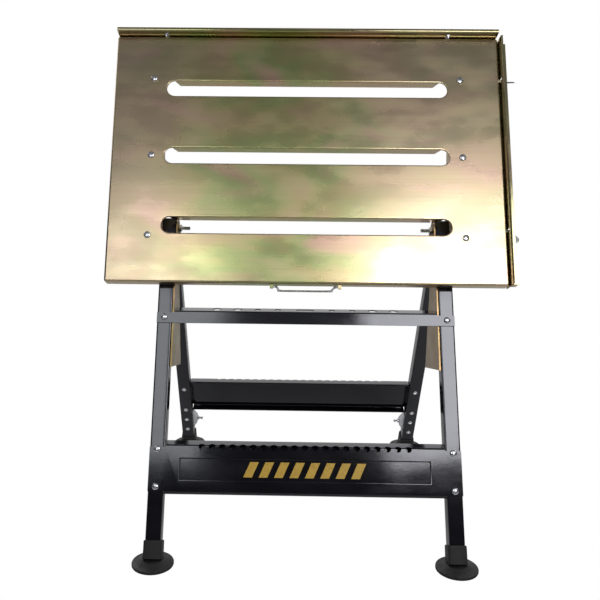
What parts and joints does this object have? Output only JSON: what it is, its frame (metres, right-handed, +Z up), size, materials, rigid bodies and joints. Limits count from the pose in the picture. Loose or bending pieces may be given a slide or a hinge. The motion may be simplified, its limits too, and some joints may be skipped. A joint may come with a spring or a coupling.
{
  "type": "welding table",
  "caption": "Folding portable welding table: slotted tilting plated steel top with raised guide rails on a spread black leg frame with telescoping legs and round rubber feet.",
  "frame": {"origin": "centre of the bounding box at floor level", "axes": "+Z up, +Y from the operator towards the back, +X to the right along the width of the top"},
  "size_m": [0.79, 0.634, 0.9589],
  "materials": {
    "yellow_zinc": "satin yellow-chromate zinc plating with fine rolling lines",
    "bright_zinc": "bright zinc plating",
    "black_powder_coat": "glossy black powder coat",
    "black_rubber": "matte"
  },
  "bodies": {
    "stand": {"fold_bolt_left": "bright_zinc", "fold_bolt_right": "bright_zinc", "front_step": "black_powder_coat", "front_step_bolt_high_left": "bright_zinc", "front_step_bolt_high_right": "bright_zinc", "front_step_bolt_low_left": "bright_zinc", "front_step_bolt_low_right": "bright_zinc", "lock_spring_front_left": "bright_zinc", "lock_spring_front_right": "bright_zinc", "outer_leg_front_left": "black_powder_coat", "outer_leg_front_right": "black_powder_coat", "side_plate_bolt_left": "bright_zinc", "side_plate_bolt_right": "bright_zinc", "side_plate_left": "yellow_zinc", "side_plate_right": "yellow_zinc", "tilt_pivot_bolt_left": "bright_zinc", "tilt_pivot_bolt_right": "bright_zinc", "tool_rail": "black_powder_coat", "tool_rail_bolt_left": "bright_zinc", "tool_rail_bolt_right": "bright_zinc"},
    "top": {"table_top": "yellow_zinc", "top_bolt_front_left": "bright_zinc", "top_bolt_front_right": "bright_zinc", "top_bolt_middle_left": "bright_zinc", "top_bolt_middle_right": "bright_zinc", "top_bolt_rear_left": "bright_zinc", "top_bolt_rear_right": "bright_zinc", "top_bracket_left": "yellow_zinc", "top_bracket_right": "yellow_zinc"},
    "rear_rail": {"rear_guide_rail": "yellow_zinc"},
    "side_rail": {"side_guide_rail": "yellow_zinc"},
    "rear_wing_screw_left": {"rear_wing_screw_left": "bright_zinc"},
    "rear_wing_screw_right": {"rear_wing_screw_right": "bright_zinc"},
    "side_wing_screw_front": {"side_wing_screw_front": "bright_zinc"},
    "side_wing_screw_rear": {"side_wing_screw_rear": "bright_zinc"},
    "carry_handle": {"carry_handle": "bright_zinc"},
    "rear_frame": {"lock_spring_rear_left": "bright_zinc", "lock_spring_rear_right": "bright_zinc", "outer_leg_rear_left": "black_powder_coat", "outer_leg_rear_right": "black_powder_coat", "rear_step": "black_powder_coat", "rear_step_bolt_high_left": "bright_zinc", "rear_step_bolt_high_right": "bright_zinc", "rear_step_bolt_low_left": "bright_zinc", "rear_step_bolt_low_right": "bright_zinc"},
    "sliding_leg_front_left": {"foot_front_left": "black_rubber", "inner_leg_front_left": "black_powder_coat"},
    "lock_pin_front_left": {"lock_pin_front_left": "bright_zinc"},
    "sliding_leg_front_right": {"foot_front_right": "black_rubber", "inner_leg_front_right": "black_powder_coat"},
    "lock_pin_front_right": {"lock_pin_front_right": "bright_zinc"},
    "sliding_leg_rear_left": {"foot_rear_left": "black_rubber", "inner_leg_rear_left": "black_powder_coat"},
    "lock_pin_rear_left": {"lock_pin_rear_left": "bright_zinc"},
    "sliding_leg_rear_right": {"foot_rear_right": "black_rubber", "inner_leg_rear_right": "black_powder_coat"},
    "lock_pin_rear_right": {"lock_pin_rear_right": "bright_zinc"},
    "tilt_lock_left": {"tilt_lock_pin_left": "bright_zinc"},
    "tilt_lock_right": {"tilt_lock_pin_right": "bright_zinc"}
  },
  "joints": [
    {"name": "top_tilt", "type": "hinge", "parent": "stand", "child": "top", "pos_m": [-0.01398, 0, 0.563], "axis": [1, 0, 0], "range_deg": [-66.85, 0]},
    {"name": "rear_frame_fold", "type": "hinge", "parent": "stand", "child": "rear_frame", "pos_m": [-0.01398, 0.024, 0.524], "axis": [1, 0, 0], "range_deg": [-49.5, 0]},
    {"name": "rear_rail_slide", "type": "slide", "parent": "top", "child": "rear_rail", "axis": [0, -0.9195, 0.3931], "range_m": [-0.02, 0]},
    {"name": "side_rail_slide", "type": "slide", "parent": "top", "child": "side_rail", "axis": [0, -0.9195, 0.3931], "range_m": [-0.02, 0]},
    {"name": "rear_wing_screw_left_turn", "type": "hinge", "parent": "top", "child": "rear_wing_screw_left", "pos_m": [-0.29498, 0.12219, 0.93273], "axis": [0, 0.3931, 0.9195], "range_deg": [0, 180]},
    {"name": "rear_wing_screw_right_turn", "type": "hinge", "parent": "top", "child": "rear_wing_screw_right", "pos_m": [0.26702, 0.12219, 0.93273], "axis": [0, 0.3931, 0.9195], "range_deg": [0, 180]},
    {"name": "side_wing_screw_front_turn", "type": "hinge", "parent": "top", "child": "side_wing_screw_front", "pos_m": [0.36702, -0.03506, 0.56494], "axis": [1, 0, 0], "range_deg": [0, 180]},
    {"name": "side_wing_screw_rear_turn", "type": "hinge", "parent": "top", "child": "side_wing_screw_rear", "pos_m": [0.36702, 0.08681, 0.84998], "axis": [1, 0, 0], "range_deg": [-180, 0]},
    {"name": "carry_handle_swing", "type": "hinge", "parent": "top", "child": "carry_handle", "pos_m": [-0.01398, -0.08047, 0.46255], "axis": [1, 0, 0], "range_deg": [-90, 0]},
    {"name": "leg_front_left_slide", "type": "slide", "parent": "stand", "child": "sliding_leg_front_left", "axis": [0, -0.4453, -0.8954], "range_m": [0, 0.12]},
    {"name": "lock_pin_front_left_pull", "type": "slide", "parent": "stand", "child": "lock_pin_front_left", "axis": [1, 0, 0], "range_m": [0, 0.008], "stiffness_N_per_m": 800, "springref_m": -0.003},
    {"name": "leg_front_right_slide", "type": "slide", "parent": "stand", "child": "sliding_leg_front_right", "axis": [0, -0.4453, -0.8954], "range_m": [0, 0.12]},
    {"name": "lock_pin_front_right_pull", "type": "slide", "parent": "stand", "child": "lock_pin_front_right", "axis": [-1, 0, 0], "range_m": [0, 0.008], "stiffness_N_per_m": 800, "springref_m": -0.003},
    {"name": "leg_rear_left_slide", "type": "slide", "parent": "rear_frame", "child": "sliding_leg_rear_left", "axis": [0, 0.439, -0.8985], "range_m": [0, 0.12]},
    {"name": "lock_pin_rear_left_pull", "type": "slide", "parent": "rear_frame", "child": "lock_pin_rear_left", "axis": [1, 0, 0], "range_m": [0, 0.008], "stiffness_N_per_m": 800, "springref_m": -0.003},
    {"name": "leg_rear_right_slide", "type": "slide", "parent": "rear_frame", "child": "sliding_leg_rear_right", "axis": [0, 0.439, -0.8985], "range_m": [0, 0.12]},
    {"name": "lock_pin_rear_right_pull", "type": "slide", "parent": "rear_frame", "child": "lock_pin_rear_right", "axis": [-1, 0, 0], "range_m": [0, 0.008], "stiffness_N_per_m": 800, "springref_m": -0.003},
    {"name": "tilt_lock_left_pull", "type": "slide", "parent": "stand", "child": "tilt_lock_left", "axis": [1, 0, 0], "range_m": [0, 0.009], "stiffness_N_per_m": 1200, "springref_m": -0.003},
    {"name": "tilt_lock_right_pull", "type": "slide", "parent": "stand", "child": "tilt_lock_right", "axis": [-1, 0, 0], "range_m": [0, 0.009], "stiffness_N_per_m": 1200, "springref_m": -0.003}
  ]
}
